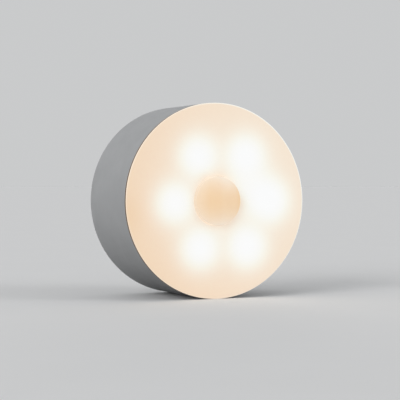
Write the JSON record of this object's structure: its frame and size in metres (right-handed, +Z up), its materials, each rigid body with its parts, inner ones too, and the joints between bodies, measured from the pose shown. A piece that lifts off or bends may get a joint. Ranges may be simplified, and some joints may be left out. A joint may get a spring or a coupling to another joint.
{
  "type": "motion sensor light",
  "caption": "Round battery puck light with a lit frosted front, a central motion sensor lens, a slide switch and a clip-on battery door in its flat back.",
  "frame": {"origin": "centre of the flat back, which lies against the wall or ceiling", "axes": "+Y out of the back, into the wall; the light and the sensor face -Y; +Z up; +X to the right seen from the front"},
  "size_m": [0.08, 0.0429, 0.08],
  "materials": {
    "white_plastic": "fine satin moulded ABS",
    "frosted_plastic": "frosted, lit from behind",
    "milky_lens": "milky polyethylene, softly lit",
    "reflector_white": "satin white",
    "board_laminate": "white solder mask",
    "led_phosphor": "phosphor in a white package",
    "plated_steel": "nickel plated",
    "contact_steel": "nickel plated spring steel",
    "black_resin": "moulded epoxy",
    "tinted_resin": "clear tinted epoxy",
    "cell_sleeve": "shrunk sleeve, plain",
    "knob_plastic": "moulded, satin",
    "red_insulation": "wire insulation",
    "black_insulation": "wire insulation",
    "white_insulation": "wire insulation"
  },
  "bodies": {
    "lamp": {"battery_cell_1": "cell_sleeve", "battery_cell_2": "cell_sleeve", "battery_cell_3": "cell_sleeve", "battery_wire_negative": "black_insulation", "battery_wire_positive": "red_insulation", "board_screw_1": "plated_steel", "board_screw_2": "plated_steel", "board_screw_3": "plated_steel", "capacitor": "plated_steel", "circuit_board": "board_laminate", "contact_bridge_left": "contact_steel", "contact_bridge_right": "contact_steel", "contact_negative": "contact_steel", "contact_positive": "contact_steel", "contact_spring_1": "contact_steel", "contact_spring_2": "contact_steel", "contact_spring_3": "contact_steel", "controller_chip": "black_resin", "front_cover": "frosted_plastic", "housing": "white_plastic", "led_1": "led_phosphor", "led_2": "led_phosphor", "led_3": "led_phosphor", "led_4": "led_phosphor", "led_5": "led_phosphor", "led_6": "led_phosphor", "led_driver": "black_resin", "light_sensor": "tinted_resin", "magnet_1": "plated_steel", "magnet_2": "plated_steel", "magnet_3": "plated_steel", "magnet_4": "plated_steel", "motion_sensor": "plated_steel", "reflector": "reflector_white", "sensor_collar": "reflector_white", "sensor_lens": "milky_lens", "switch_body": "plated_steel", "switch_wire_1": "white_insulation", "switch_wire_2": "white_insulation", "switch_wire_3": "white_insulation"},
    "battery_door": {"battery_door": "white_plastic"},
    "switch_knob": {"switch_knob": "knob_plastic"}
  },
  "joints": [
    {"name": "battery_door_swing", "type": "hinge", "parent": "lamp", "child": "battery_door", "pos_m": [-0.028, 0, 0], "axis": [0, 0, 1], "range_deg": [0, 50]},
    {"name": "switch_slide", "type": "slide", "parent": "lamp", "child": "switch_knob", "axis": [1, 0, 0], "range_m": [-0.002, 0.002]}
  ]
}
